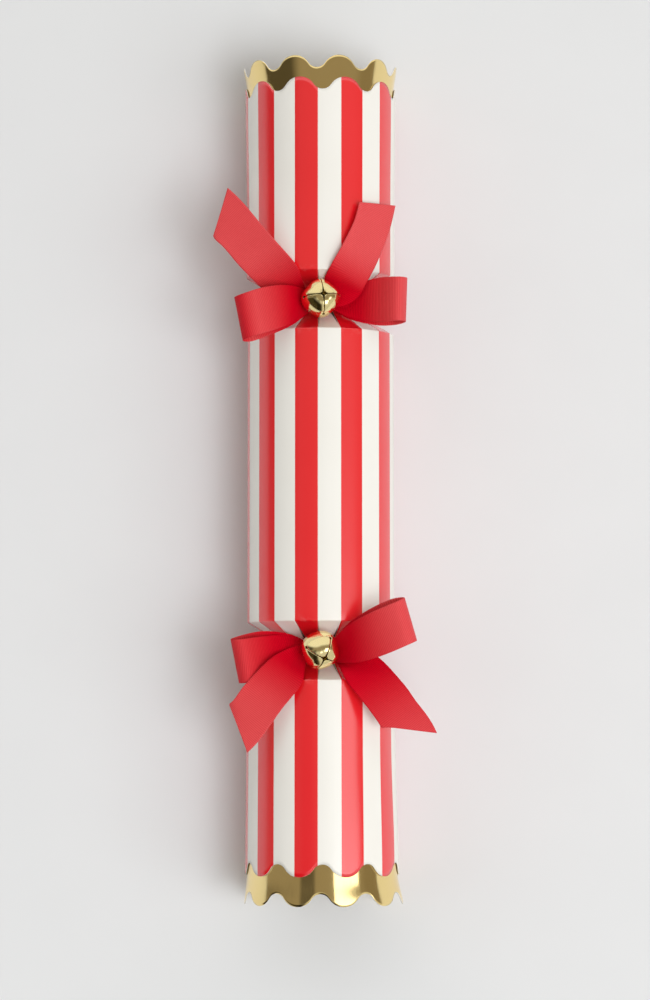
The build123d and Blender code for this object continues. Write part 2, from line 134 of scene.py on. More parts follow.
# Finishes
def paint(red, green, blue):
    # screen colour 0 to 255 to the linear colour that shaders take
    c = np.array([red, green, blue]) / 255.0
    linear = np.where(c <= 0.04045, c / 12.92, ((c + 0.055) / 1.055) ** 2.4)
    return (*linear, 1.0)


def finishFor(name):
    made = bpy.data.materials.new(name)
    made.use_nodes = True
    return made, made.node_tree, made.node_tree.nodes["Principled BSDF"]


def plug(tree, socket, value):
    # a number or colour is set on the socket itself, another node's output is linked to it
    if isinstance(value, bpy.types.NodeSocket):
        tree.links.new(value, socket)
    else:
        socket.default_value = value


def add(tree, kind, values=None, **settings):
    # a node with its settings, and its inputs given as numbers or as other nodes' outputs
    made = tree.nodes.new(kind)
    for key, value in settings.items():
        setattr(made, key, value)
    for key, value in (values or {}).items():
        plug(tree, made.inputs[key], value)
    return made


def calc(tree, operation, first, second=0.0, third=0.0, clamp=False):
    inputs = {0: first, 1: second, 2: third}
    return add(tree, "ShaderNodeMath", inputs, operation=operation, use_clamp=clamp).outputs[0]


def between(tree, share, low, high):
    mixed = add(tree, "ShaderNodeMix", {"Factor": share, 6: low, 7: high}, data_type="RGBA")
    return mixed.outputs[2]


def ranged(tree, value, fromLow, fromHigh, toLow, toHigh):
    spread = {"Value": value, 1: fromLow, 2: fromHigh, 3: toLow, 4: toHigh}
    return add(tree, "ShaderNodeMapRange", spread).outputs[0]


def noise(tree, where, scale, detail=2.0, rough=0.5):
    made = {"Vector": where, "Scale": scale, "Detail": detail, "Roughness": rough}
    return add(tree, "ShaderNodeTexNoise", made).outputs["Fac"]


def stretched(tree, where, scale):
    return add(tree, "ShaderNodeMapping", {"Vector": where, "Scale": scale}).outputs[0]


def bumped(tree, height, distance, strength):
    made = {"Height": height, "Distance": distance, "Strength": strength}
    return add(tree, "ShaderNodeBump", made).outputs[0]


def feed(tree, shader, **inputs):
    # shader inputs by name, with _ for a space
    for key, value in inputs.items():
        plug(tree, shader.inputs[key.replace("_", " ")], value)


stripeLook = {
    "red": (234, 16, 30), "redLight": (240, 26, 38), "cream": (246, 244, 239), "creamDull": (241, 238, 231),
    "bare": (246, 243, 238), "pairs": 10.0, "shift": 20.0 / 36.0, "edge": 0.006, "ragged": 0.004,
    "grain": 420.0, "cloud": 35.0, "fibre": 1600.0, "fibreDepth": 0.00003, "fibreBump": 0.35, "crack": 0.12,
    "gloss": 0.36, "glossSpread": 0.06, "ior": 1.5, "specular": 0.25,
    "creamCoat": 0.25, "redCoat": 1.0, "coatRough": 0.2, "coatIor": 1.9,
}


def stripedFinish():
    # red where the turn round the cracker, counted in stripe pairs, is in the first half of its pair
    made, tree, shader = finishFor("stripedPaper")
    place = add(tree, "ShaderNodeTexCoord")
    turn = add(tree, "ShaderNodeSeparateXYZ", {0: place.outputs["UV"]}).outputs[0]
    grain = noise(tree, place.outputs["Object"], stripeLook["grain"], 4.0, 0.6)
    cloud = noise(tree, place.outputs["Object"], stripeLook["cloud"])
    pair = calc(tree, "MULTIPLY_ADD", turn, stripeLook["pairs"], stripeLook["shift"])
    ragged = calc(tree, "MULTIPLY_ADD", grain, stripeLook["ragged"], pair)
    redMiddle = 0.25  # of a pair
    off = calc(tree, "ABSOLUTE", calc(tree, "SUBTRACT", calc(tree, "FRACT", ragged), redMiddle))
    isRed = ranged(tree, off, redMiddle - stripeLook["edge"], redMiddle + stripeLook["edge"], 1.0, 0.0)
    red = between(tree, cloud, paint(*stripeLook["red"]), paint(*stripeLook["redLight"]))
    cream = between(tree, cloud, paint(*stripeLook["creamDull"]), paint(*stripeLook["cream"]))
    printed = between(tree, isRed, cream, red)
    rubbed = add(tree, "ShaderNodeAttribute", attribute_name="wearAndShade").outputs["Fac"]
    cracked = calc(tree, "MULTIPLY", rubbed, ranged(tree, grain, 0.5, 0.8, 0.0, stripeLook["crack"]))
    spread = calc(tree, "MULTIPLY", cloud, stripeLook["glossSpread"])
    pulled = stretched(tree, place.outputs["Object"], (1.0, 0.35, 1.0))
    fibres = noise(tree, pulled, stripeLook["fibre"], 3.0, 0.6)
    feed(tree, shader, Base_Color=between(tree, cracked, printed, paint(*stripeLook["bare"])),
         Roughness=calc(tree, "ADD", spread, stripeLook["gloss"] - stripeLook["glossSpread"] / 2),
         Normal=bumped(tree, fibres, stripeLook["fibreDepth"], stripeLook["fibreBump"]),
         Coat_Weight=ranged(tree, isRed, 0.0, 1.0, stripeLook["creamCoat"], stripeLook["redCoat"]))
    feed(tree, shader, IOR=stripeLook["ior"], Specular_IOR_Level=stripeLook["specular"],
         Coat_Roughness=stripeLook["coatRough"], Coat_IOR=stripeLook["coatIor"])
    return made


cardLook = {"along": 0.25, "fleck": 0.3, "fleckLift": 0.5, "spread": 0.08, "relief": 0.5}


def cardFinish(name, dark, light, rough, scale, bump):
    # plain paper or card: fibres of two tones, a little relief and no gloss
    made, tree, shader = finishFor(name)
    where = add(tree, "ShaderNodeTexCoord").outputs["Object"]
    fibres = noise(tree, stretched(tree, where, (1.0, cardLook["along"], 1.0)), scale, 5.0, 0.65)
    flecks = noise(tree, where, scale * cardLook["fleck"], 3.0)
    tone = calc(tree, "MULTIPLY", fibres, calc(tree, "ADD", flecks, cardLook["fleckLift"]), clamp=True)
    feed(tree, shader, Base_Color=between(tree, tone, paint(*dark), paint(*light)),
         Roughness=ranged(tree, fibres, 0.2, 0.8, rough - cardLook["spread"], rough + cardLook["spread"]),
         Normal=bumped(tree, fibres, bump, cardLook["relief"]))
    return made


metalLook = {"cloud": 60.0, "wave": 130.0, "waveBump": 0.6, "line": 2600.0, "lineBump": 0.4, "spread": 0.07}


def metalFinish(name, low, high, gloss, wave, scratch):
    # polished metal: two near tones, faint broad waves and fine rubbed scratches
    made, tree, shader = finishFor(name)
    where = add(tree, "ShaderNodeTexCoord").outputs["Object"]
    cloud = noise(tree, where, metalLook["cloud"], 3.0)
    lines = noise(tree, stretched(tree, where, (1.0, 0.08, 1.0)), metalLook["line"], 3.0, 0.7)
    waves = noise(tree, where, metalLook["wave"], 1.0)
    relief = bumped(tree, waves, wave, metalLook["waveBump"])
    rubbed = {"Height": lines, "Distance": scratch, "Strength": metalLook["lineBump"], "Normal": relief}
    feed(tree, shader, Base_Color=between(tree, cloud, paint(*low), paint(*high)), Metallic=1.0,
         Roughness=ranged(tree, lines, 0.3, 0.75, gloss, gloss + metalLook["spread"]),
         Normal=add(tree, "ShaderNodeBump", rubbed).outputs[0])
    return made


# the second pair of tones and the lower shine are painted shade, used near the knot and at the loops' turns
ribbonLook = {
    "low": (212, 40, 50), "high": (240, 86, 88), "paintedShadeLow": (188, 0, 24), "paintedShadeHigh": (218, 0, 34),
    "rib": 0.62, "ribDepth": 0.00009, "ribBump": 0.7, "ribShare": 0.55, "thread": 700.0, "threadShare": 0.5,
    "halfWidth": 7.9, "selvedge": 0.55, "selvedgeLift": 0.8, "groove": 0.58, "ridge": 0.45,
    "cloud": 90.0, "dye": (0.85, 1.1),
    "shine": 0.6, "paintedShadeShine": 0.05, "sheen": 0.03, "sheenRough": 0.4, "sheenTint": (255, 150, 145),
}


def ribbonFinish():
    # grosgrain: round ribs across the ribbon at an even pitch along it, threads of slightly different
    # reds, a firm edge, and painted shade: a deeper red with less shine near the knot and at the loops' turns
    made, tree, shader = finishFor("redGrosgrain")
    place = add(tree, "ShaderNodeTexCoord")
    spot = add(tree, "ShaderNodeSeparateXYZ", {0: place.outputs["UV"]}).outputs
    ribs = calc(tree, "SINE", calc(tree, "MULTIPLY", spot[1], 2.0 * np.pi / (ribbonLook["rib"] * mm)))
    ribTop = ranged(tree, ribs, -1.0, 1.0, 0.0, 1.0)
    pulled = stretched(tree, place.outputs["UV"], (1.0, 12.0, 1.0))
    threads = noise(tree, pulled, ribbonLook["thread"], 3.0, 0.6)
    cloud = noise(tree, place.outputs["Object"], ribbonLook["cloud"])
    ribTone = calc(tree, "MULTIPLY", ribTop, ribbonLook["ribShare"])
    threadTone = calc(tree, "MULTIPLY", threads, ribbonLook["threadShare"])
    dye = ranged(tree, cloud, 0.2, 0.8, *ribbonLook["dye"])
    tone = calc(tree, "MULTIPLY", calc(tree, "ADD", ribTone, threadTone), dye, clamp=True)
    edge = calc(tree, "ABSOLUTE", spot[0])
    edgeFrom = (ribbonLook["halfWidth"] - ribbonLook["selvedge"]) * mm
    firm = ranged(tree, edge, edgeFrom, ribbonLook["halfWidth"] * mm, 0.0, 1.0)
    height = calc(tree, "ADD", ribTop, calc(tree, "MULTIPLY", firm, ribbonLook["selvedgeLift"]))
    # painted shade, read from the mesh attribute: 1 near the knot and at a loop's turn, 0 out in the open
    paintedShade = add(tree, "ShaderNodeAttribute", attribute_name="wearAndShade").outputs["Fac"]
    flatTone = between(tree, tone, paint(*ribbonLook["low"]), paint(*ribbonLook["high"]))
    paintedShadeTone = between(tree, tone, paint(*ribbonLook["paintedShadeLow"]), paint(*ribbonLook["paintedShadeHigh"]))
    feed(tree, shader, Base_Color=between(tree, paintedShade, flatTone, paintedShadeTone),
         Specular_IOR_Level=ranged(tree, paintedShade, 0.0, 1.0, ribbonLook["shine"], ribbonLook["paintedShadeShine"]),
         Roughness=ranged(tree, ribTop, 0.0, 1.0, ribbonLook["groove"], ribbonLook["ridge"]),
         Normal=bumped(tree, height, ribbonLook["ribDepth"], ribbonLook["ribBump"]))
    feed(tree, shader, Sheen_Weight=ribbonLook["sheen"], Sheen_Roughness=ribbonLook["sheenRough"],
         Sheen_Tint=paint(*ribbonLook["sheenTint"]))
    return made


woodLook = {
    "dark": (150, 104, 62), "light": (214, 176, 122), "ring": 300.0, "pore": 2400.0, "poreDepth": 0.00004,
}


def woodFinish():
    # turned wood: grain drawn out along the barrel, with finer and longer pores that take the shine
    made, tree, shader = finishFor("waxedWood")
    where = add(tree, "ShaderNodeTexCoord").outputs["Object"]
    rings = noise(tree, stretched(tree, where, (1.0, 0.12, 1.0)), woodLook["ring"], 4.0, 0.6)
    pores = noise(tree, stretched(tree, where, (1.0, 0.05, 1.0)), woodLook["pore"])
    feed(tree, shader, Base_Color=between(tree, rings, paint(*woodLook["dark"]), paint(*woodLook["light"])),
         Roughness=ranged(tree, pores, 0.2, 0.8, 0.3, 0.45),
         Normal=bumped(tree, pores, woodLook["poreDepth"], 0.4))
    return made


# card: dark and light tone, roughness, fibres to a metre, relief in metres; metal: low and high tone,
# roughness, waves and scratches in metres
stripes = stripedFinish()
plainPaper = cardFinish("paperBack", (222, 218, 209), (245, 242, 236), 0.72, 900.0, 0.00003)
cutEdge = cardFinish("paperEdge", (232, 228, 220), (250, 248, 244), 0.8, 1500.0, 0.00002)
greyCard = cardFinish("greyCard", (128, 121, 110), (172, 165, 152), 0.8, 700.0, 0.00005)
buffCard = cardFinish("buffCard", (178, 164, 138), (212, 200, 176), 0.75, 800.0, 0.00005)
greyCoat = cardFinish("greyCoat", (62, 58, 56), (104, 99, 95), 0.85, 2200.0, 0.0001)
gritCoat = cardFinish("gritCoat", (78, 40, 30), (134, 82, 62), 0.9, 2600.0, 0.00015)
redTissue = cardFinish("redTissue", (164, 14, 30), (206, 40, 54), 0.6, 500.0, 0.0002)
goldFoil = metalFinish("goldFoil", (250, 222, 152), (254, 232, 168), 0.08, 0.00002, 0.000003)
bellBrass = metalFinish("bellBrass", (248, 228, 164), (254, 238, 180), 0.11, 0.00001, 0.000003)
pelletSteel = metalFinish("pelletSteel", (128, 128, 130), (176, 176, 178), 0.25, 0.00001, 0.00001)
grosgrain = ribbonFinish()
waxedWood = woodFinish()
print("finishes made")


# Striped wrap: barrel and two ends, each a printed sheet rolled up, with petals folded in at the chokes
wrap = {
    "axis": 27.15, "barrelRadius": 26.7, "endRadius": 27.0, "neckRadius": 9.5, "barrelRim": 52.5,
    "endRim": 73.5, "neckFrom": 62.5, "neckTo": 63.5, "tear": 62.95, "endTear": 63.05, "tip": 143.5,
    "sheet": 0.35, "acrossSteps": 15, "bendSteps": 6, "bendMost": 0.4,
    "petals": 20, "firstEdge": -2.0, "fold": 0.38, "foldBefore": 0.25, "foldRun": 0.9, "rimWear": 0.6,
    "bulge": 0.28, "step": 0.16, "stepBeats": (2.4, 0.8, 5.1),
    "slitStart": 1.0, "slitEnd": 10.5, "slitHalf": 0.35, "slitVary": 0.35, "slitBeat": 2.1,
    "wideSlits": {"upper": {16.0: 2.2}, "lower": {-20.0: 2.6, 16.0: 2.0}},
    "scallopDepth": 4.6, "lobeShare": 0.62, "lobes": 10, "lobeAngle": -16.5,
    "lapHalf": 6.5, "lapRise": 0.5, "lapGap": 0.04, "lapInset": 0.2, "lapWear": 0.25, "lapWearReach": 0.02,
    "lapSteps": (25, 30),
}


def foldedLine(corners, reach, steps):
    # straight runs between the corners, each inner corner rounded by a short quadratic curve
    corners = np.array(corners, float)
    parts, start = [], corners[0]
    for k in range(1, len(corners) - 1):
        back, on = corners[k - 1] - corners[k], corners[k + 1] - corners[k]
        first = corners[k] + back * min(reach / np.linalg.norm(back), wrap["bendMost"])
        last = corners[k] + on * min(reach / np.linalg.norm(on), wrap["bendMost"])
        run = np.linspace(0, 1, steps[k - 1], endpoint=False)[:, None]
        bend = np.linspace(0, 1, wrap["bendSteps"], endpoint=False)[:, None]
        parts.append(start + (first - start) * run)
        parts.append((1 - bend) ** 2 * first + 2 * bend * (1 - bend) * corners[k] + bend**2 * last)
        start = last
    run = np.linspace(0, 1, steps[-1])[:, None]
    parts.append(start + (corners[-1] - start) * run)
    return np.concatenate(parts)


def scallopEdge(degrees, radius, tip, angle):
    # height of an edge of round lobes: an arc over each lobe and a smaller one in each valley, which
    # meet in line
    pitch = 360.0 / wrap["lobes"]
    halfPitch = radius * np.sin(np.radians(pitch / 2))
    both = (halfPitch**2 + wrap["scallopDepth"] ** 2) / (2 * wrap["scallopDepth"])
    lobe = both * wrap["lobeShare"]
    valley = both - lobe
    turn = np.arctan2(halfPitch, both - wrap["scallopDepth"])
    off = (degrees - angle) % pitch
    x = radius * np.sin(np.radians(np.abs(off - pitch / 2)))
    low = tip - wrap["scallopDepth"] + valley - np.sqrt(np.maximum(valley**2 - x**2, 0))
    high = tip - lobe + np.sqrt(np.maximum(lobe**2 - (halfPitch - x) ** 2, 0))
    return np.where(x < valley * np.sin(turn), low, high)


def flared(degrees, share, flare):
    # how far a mouth stands out: grows towards the edge, most at one angle on each side
    out = 0 * degrees
    for side in flare["sides"]:
        apart = (degrees - side["angle"] + 180) % 360 - 180
        out = out + side["out"] * np.exp(-((apart / flare["spread"]) ** 2))
    return out * ease(share) ** 2


def cracker(degrees, radius, along):
    # a point from its turn past the crest towards +X, its distance from the axis and its place along
    turn = np.radians(degrees)
    return joined(radius * np.sin(turn), along, wrap["axis"] + radius * np.cos(turn))


def axisPoint(points):
    # the nearest point on the cracker's axis
    return np.stack([0 * points[:, 0], points[:, 1], 0 * points[:, 0] + wrap["axis"]], -1)


def slitShares(end):
    # how wide each slit is, from the first stripe edge round, against the usual width
    k = np.arange(wrap["petals"])
    edges = (wrap["firstEdge"] + 360.0 / wrap["petals"] * k + 180) % 360 - 180
    shares = 1 + wrap["slitVary"] * np.sin(wrap["slitBeat"] * k)
    for edge, share in wrap["wideSlits"][end].items():
        shares = np.where(np.abs(edges - edge) < 1, share, shares)
    return shares


def wrapSets(line, radius, rims, ends, scallop=None, flare=None):
    # Strips between stripe edges, each a flat petal beyond a rim: the ring goes from a circle to a
    # polygon there, and the petals' sides part in slits that widen towards the neck.
    count = wrap["petals"]
    pitch = 360.0 / count
    k = np.arange(count)[:, None, None]
    a = np.linspace(0, 1, wrap["acrossSteps"])[None, :, None]
    along, ring = line[None, None, :, 0], line[None, None, :, 1]
    beyond = np.max([towards * (along - rim) for rim, towards in rims], axis=0)
    slope = np.clip((radius - ring) / (radius - wrap["neckRadius"]), 0, 1)
    opened = np.clip((beyond - wrap["slitStart"]) / (wrap["slitEnd"] - wrap["slitStart"]), 0, 1)
    gap = np.degrees(wrap["slitHalf"] * opened / ring)
    wide = [slitShares(end)[:, None, None] for end in ends]
    wide = np.where(along > 0, wide[0], wide[-1])
    middle = wrap["firstEdge"] + pitch * (k + 0.5)
    left, right = gap * wide, gap * np.roll(wide, -1, axis=0)
    aside = left - pitch / 2 + a * (pitch - left - right)
    flat = np.cos(np.radians(pitch / 2)) / np.cos(np.radians(aside))
    petal = ease((beyond + wrap["foldBefore"]) / wrap["foldRun"])
    bulge = wrap["bulge"] * np.sin(np.pi * slope) * (1 - 0.5 * (2 * a - 1) ** 2)
    beat, sway, swayBeat = wrap["stepBeats"]
    tuck = wrap["step"] * slope * np.sin(beat * k + sway * np.sin(swayBeat * k))
    distance = ring * (1 + petal * (flat - 1)) + petal * (bulge + tuck)
    nominal = middle + (a - 0.5) * pitch
    place = along + 0 * aside
    edge = np.exp(-((beyond / wrap["rimWear"]) ** 2)) + 0 * aside
    if scallop is not None:
        mouth = scallopEdge(nominal, radius, wrap["tip"], scallop)
        rim = rims[0][0]
        share = np.clip((along - rim) / (wrap["tip"] - rim), 0, 1)
        place = np.where(along > rim, rim + (along - rim) * (mouth - rim) / (wrap["tip"] - rim), place)
        distance = distance + flared(nominal, share, flare)
    grid = cracker(middle + aside, distance, place)
    run = np.concatenate([[0], np.cumsum(np.linalg.norm(np.diff(line, axis=0), axis=1))]) * mm
    uv = joined(nominal / 360 + 0.5 + 0 * grid[..., 0], run[None, None, :])
    return grid, uv, edge


def lapSet(radius, start, end, scallop=None):
    # the sheet's end, glued over its beginning along the underside, stepped up by its thickness and
    # pressed flat
    half = wrap["lapHalf"] / radius
    aroundSteps, alongSteps = wrap["lapSteps"]
    down = np.linspace(-half, half, aroundSteps)[None, :, None]
    rise = wrap["lapGap"] + (wrap["lapRise"] - wrap["lapGap"]) * ease((down + half) / (half / 2))
    share = np.linspace(0, 1, alongSteps)[None, None, :]
    degrees = 180.0 - np.degrees(down) + 0 * share
    tip = end if scallop is None else scallopEdge(degrees, radius, end, scallop)
    along = start + (tip - start) * share
    grid = cracker(degrees, radius + rise + 0 * share, along)
    grid[..., 2] = np.maximum(grid[..., 2], 0.0)
    uv = joined(degrees / 360 + 0.5, along * mm)
    return grid, uv, wrap["lapWear"] * np.exp(-((half - down) / wrap["lapWearReach"])) + 0 * share


def mirrored(sets):
    # the upper end's shape, mirrored along the cracker for the lower end
    return [(grid * np.array([1.0, -1.0, 1.0]), uv, wearAndShade) for grid, uv, wearAndShade in sets]


paperFinishes = (stripes, plainPaper, cutEdge)
neckRadius, barrelRadius, endRadius = wrap["neckRadius"], wrap["barrelRadius"], wrap["endRadius"]
barrelRim, endRim = wrap["barrelRim"], wrap["endRim"]
barrelLine = foldedLine(
    [(-wrap["tear"], neckRadius), (-wrap["neckFrom"], neckRadius), (-barrelRim, barrelRadius),
     (barrelRim, barrelRadius), (wrap["neckFrom"], neckRadius), (wrap["tear"], neckRadius)],
    wrap["fold"], (2, 14, 40, 14, 2))
barrelSets = [wrapSets(barrelLine, barrelRadius, ((barrelRim, 1), (-barrelRim, -1)), ("upper", "lower")),
              lapSet(barrelRadius, -barrelRim + wrap["lapInset"], barrelRim - wrap["lapInset"])]
barrelPaper = skin("barrelPaper", barrelSets, axisPoint)
thicken(barrelPaper, wrap["sheet"], -1.0, 1, 2)
dress(barrelPaper, "barrel", "striped_paper", paperFinishes, "barrel_wrap")

endLine = foldedLine(
    [(wrap["endTear"], neckRadius), (wrap["neckTo"], neckRadius), (endRim, endRadius),
     (wrap["tip"], endRadius)], wrap["fold"], (2, 14, 44))
endFlares = {
    "upper": {"spread": 55.0, "sides": ({"out": 0.6, "angle": -92.0}, {"out": 0.4, "angle": 92.0})},
    "lower": {"spread": 58.0, "sides": ({"out": 0.3, "angle": -92.0}, {"out": 1.4, "angle": 88.0})},
}
for end in ("upper", "lower"):
    sets = [wrapSets(endLine, endRadius, ((endRim, -1),), (end,), wrap["lobeAngle"], endFlares[end]),
            lapSet(endRadius, endRim + wrap["lapInset"], wrap["tip"], wrap["lobeAngle"])]
    endPaper = skin(end + "EndPaper", sets if end == "upper" else mirrored(sets), axisPoint)
    thicken(endPaper, wrap["sheet"], -1.0, 1, 2)
    dress(endPaper, end + "_end", "striped_paper", paperFinishes, end + "_end_wrap")
print("striped wraps made")


# Gold liners, a rolled foil card in each end
liner = {
    "radius": 26.4, "start": 93.5, "card": 0.45, "lip": 0.08, "edgeWear": 0.01,
    "aroundSteps": 321, "alongSteps": (8, 22), "ripple": 0.05, "waves": ((3, 1.0, 1.0), (5, 0.7, -0.6)),
    "show": {"upper": 8.0, "lower": 10.5}, "angle": {"upper": -21.0, "lower": -18.0},
    "lipFlare": {
        "upper": {"spread": 50.0, "sides": ({"out": 1.2, "angle": -98.0}, {"out": 1.0, "angle": 96.0})},
        "lower": {"spread": 50.0, "sides": ({"out": 0.8, "angle": -95.0}, {"out": 2.0, "angle": 94.0})},
    },
}


def linerSet(end):
    # a tube with a scalloped edge whose radius swells a little in slow waves, and turns out at the
    # lobes' tips
    degrees = np.linspace(-180, 180, liner["aroundSteps"])[None, :, None]
    hidden, shown = liner["alongSteps"]
    share = np.concatenate([np.linspace(0, 0.7, hidden, endpoint=False), np.linspace(0.7, 1, shown)])
    share = share[None, None, :]
    tip = wrap["tip"] + liner["show"][end]
    edge = scallopEdge(degrees, liner["radius"], tip, liner["angle"][end])
    along = liner["start"] + (edge - liner["start"]) * share
    turn = np.radians(degrees)
    waves = sum(size * np.sin(count * turn + phase) for count, size, phase in liner["waves"])
    wave = liner["ripple"] * waves * ease(share)
    lip = liner["lip"] * ease((along - wrap["tip"]) / liner["show"][end])
    low = wrap["tip"] - wrap["scallopDepth"]
    flare = flared(degrees, (along - wrap["endRim"]) / (wrap["tip"] - wrap["endRim"]), endFlares[end])
    flare = flare + flared(degrees, (along - low) / (tip - low), liner["lipFlare"][end])
    radius = liner["radius"] + wave + lip + flare
    uv = joined(degrees / 360 + 0.5, along * mm)
    return cracker(degrees, radius, along), uv, np.exp(-(1 - share) / liner["edgeWear"]) + 0 * degrees


for end in ("upper", "lower"):
    sets = [linerSet(end)]
    goldLiner = skin(end + "GoldLiner", sets if end == "upper" else mirrored(sets), axisPoint)
    thicken(goldLiner, liner["card"], -1.0, 0, 1)
    dress(goldLiner, end + "_end", "gold_card", (goldFoil, cutEdge), end + "_gold_liner")
print("gold liners made")


# Ribbon bows: places along each piece from the knot outwards, as (across, along, lift, yaw, roll, gather).
# across is in end radii, along in half chokes from the neck towards the end, lift from 0 at the knot to 1
# at the crest; yaw and roll turn the ribbon's width, and gather is the share of it that lies flat. A root
# is (side, level) on the knot. Near the knot, over each piece's reach, and at a loop's turn, shade is
# painted in as a deeper red.
bow = {
    "width": 15.8, "cloth": 0.35, "neck": 63.0, "halfChoke": 10.5, "radius": 27.0, "knotHeight": 44.2,
    "rise": 9.95, "knotHalf": 4.2, "strandGap": 0.25, "knotRadius": 3.0, "rootGather": 0.25,
    "foldHeight": 2.2, "cupLevel": 0.33, "cupFrom": 0.5, "paintedShadeHold": 0.4, "paintedShadeTurnReach": 3.5,
    "steps": 14, "acrossSteps": 25,
}
bowPieces = {
    "upper_left_tail": {
        "start": (-1, -0.8), "depth": 0.35, "phase": 0.4, "cup": -0.25, "paintedShadeReach": 21.0,
        "places": ((-0.36, 0.34, 0.47, 46, 16, 0.60), (-0.52, 0.70, 0.82, 42, 18, 0.94),
                   (-0.83, 1.52, 1.02, 41, 13, 1.0), (-1.09, 2.30, 1.00, 41, 8, 1.0),
                   (-1.33, 2.98, 0.90, 73, 8, 1.14))},
    "upper_right_tail": {
        "start": (1, 0.6), "depth": 0.55, "phase": 2.6, "cup": -0.35, "paintedShadeReach": 17.0,
        "places": ((0.27, 0.38, 0.50, 150, 6, 0.84), (0.37, 0.82, 0.91, 152, 22, 0.95),
                   (0.52, 1.52, 0.80, 153, 31, 1.0), (0.68, 2.48, 0.60, 163, 36, 1.0),
                   (0.765, 3.33, 0.43, 181, 37, 1.03))},
    "upper_left_loop": {
        "start": (-1, 0.45), "stop": (-1, 0.8), "rootGather": 0.5, "depth": 0.3, "phase": 0.0, "cup": 0.0,
        "paintedShadeReach": 22.0, "turn": 0.85, "paintedShadeTurnReach": 6.0,
        "places": ((-0.39, -0.22, 0.78, 95, 0, 0.88), (-0.68, -0.48, 0.97, 100, 0, 1.0),
                   (-0.96, -0.75, 1.12, 101, 0, 1.0), (-1.08, -0.77, 1.46, 101, 0, 1.0),
                   (-0.96, -0.67, 1.80, 101, 0, 1.0), (-0.68, -0.43, 1.62, 100, 0, 1.0),
                   (-0.41, -0.22, 1.12, 95, 0, 0.88))},
    "upper_right_loop": {
        "start": (1, -0.6), "stop": (1, -0.2), "rootGather": 0.36, "depth": 0.5, "phase": 0.6, "cup": 0.0,
        "paintedShadeReach": 22.0, "turn": 0.10,
        "places": ((0.41, -0.06, 0.09, 90, 0, 0.76), (0.74, -0.08, 0.17, 90, 0, 1.0),
                   (1.00, -0.08, 0.26, 89, 0, 1.0), (1.14, -0.02, 0.69, 88, 0, 1.0),
                   (1.01, -0.02, 1.08, 89, 0, 1.0), (0.74, -0.02, 0.62, 90, 0, 1.0),
                   (0.44, -0.04, 0.21, 90, 0, 0.76))},
    "lower_left_tail": {
        "start": (-1, 0.6), "depth": 0.55, "phase": 0.3, "cup": -0.3, "paintedShadeReach": 24.0,
        "places": ((-0.34, 0.31, 0.54, 44, 8, 0.60), (-0.47, 0.76, 0.98, 37, 10, 0.93),
                   (-0.75, 1.58, 1.12, 34, 6, 1.0), (-0.93, 2.22, 1.05, 43, 6, 1.02),
                   (-1.08, 2.66, 0.96, 69, 8, 1.16))},
    "lower_right_tail": {
        "start": (1, -0.8), "depth": 0.35, "phase": 2.8, "cup": -0.25, "paintedShadeReach": 44.0,
        "places": ((0.37, 0.28, 0.45, 134, 16, 0.60), (0.56, 0.66, 0.82, 142, 18, 0.95),
                   (0.86, 1.55, 1.02, 147, 13, 1.0), (1.04, 2.20, 1.00, 152, 8, 1.0),
                   (1.19, 2.70, 0.92, 187, 8, 1.2))},
    "lower_left_loop": {
        "start": (-1, -0.6), "stop": (-1, -0.2), "rootGather": 0.36, "depth": 0.5, "phase": 0.2, "cup": 0.0,
        "paintedShadeReach": 28.0, "turn": 0.70, "paintedShadeTurnReach": 5.0,
        "places": ((-0.41, 0.00, 0.11, 88, 0, 0.76), (-0.71, 0.08, 0.27, 82, 0, 1.0),
                   (-0.97, 0.20, 0.34, 79, 0, 1.0), (-1.13, 0.36, 0.66, 79, 0, 1.0),
                   (-0.99, 0.37, 0.97, 79, 0, 1.0), (-0.71, 0.26, 0.54, 82, 0, 1.0),
                   (-0.44, 0.05, 0.21, 88, 0, 0.76))},
    "lower_right_loop": {
        "start": (1, 0.45), "stop": (1, 0.8), "rootGather": 0.5, "depth": 0.3, "phase": 0.3, "cup": 0.0,
        "paintedShadeReach": 25.0, "turn": 0.15,
        "places": ((0.39, -0.24, 0.80, 84, 0, 0.88), (0.69, -0.62, 1.00, 76, 0, 1.0),
                   (1.00, -0.99, 1.18, 74, 0, 1.0), (1.18, -1.04, 1.54, 74, 0, 1.0),
                   (1.06, -0.87, 1.90, 74, 0, 1.0), (0.72, -0.51, 1.66, 76, 0, 1.0),
                   (0.42, -0.22, 1.14, 84, 0, 0.88))},
}


def ribbonPlaces(piece):
    # rows of x, y, z, yaw, roll, gather in millimetres and degrees, with the knot's side first and, for a
    # loop, last
    def root(side, level):
        x, z = side * (bow["knotHalf"] + bow["strandGap"]), bow["knotHeight"] + level * bow["knotRadius"]
        return x, bow["neck"], z, 90.0, 0.0, piece.get("rootGather", bow["rootGather"])

    spots = np.array(piece["places"], float)
    spots[:, 0] *= bow["radius"]
    spots[:, 1] = bow["neck"] + spots[:, 1] * bow["halfChoke"]
    spots[:, 2] = bow["knotHeight"] + spots[:, 2] * bow["rise"]
    rows = [root(*piece["start"]), *spots]
    if "stop" in piece:
        rows.append(root(*piece["stop"]))
    return np.array(rows)


def throughPlaces(rows, steps):
    # a smooth curve through the rows, a cubic for each span, all spans at once
    padded = np.concatenate([rows[:1], rows, rows[-1:]])
    a, b, c, d = padded[:-3, None], padded[1:-2, None], padded[2:-1, None], padded[3:, None]
    t = (np.arange(steps) / steps)[None, :, None]
    curve = b + ((c - a) * t + (2 * a - 5 * b + 4 * c - d) * t**2 + (3 * b - a - 3 * c + d) * t**3) / 2
    return np.concatenate([curve.reshape(-1, rows.shape[1]), rows[-1:]])


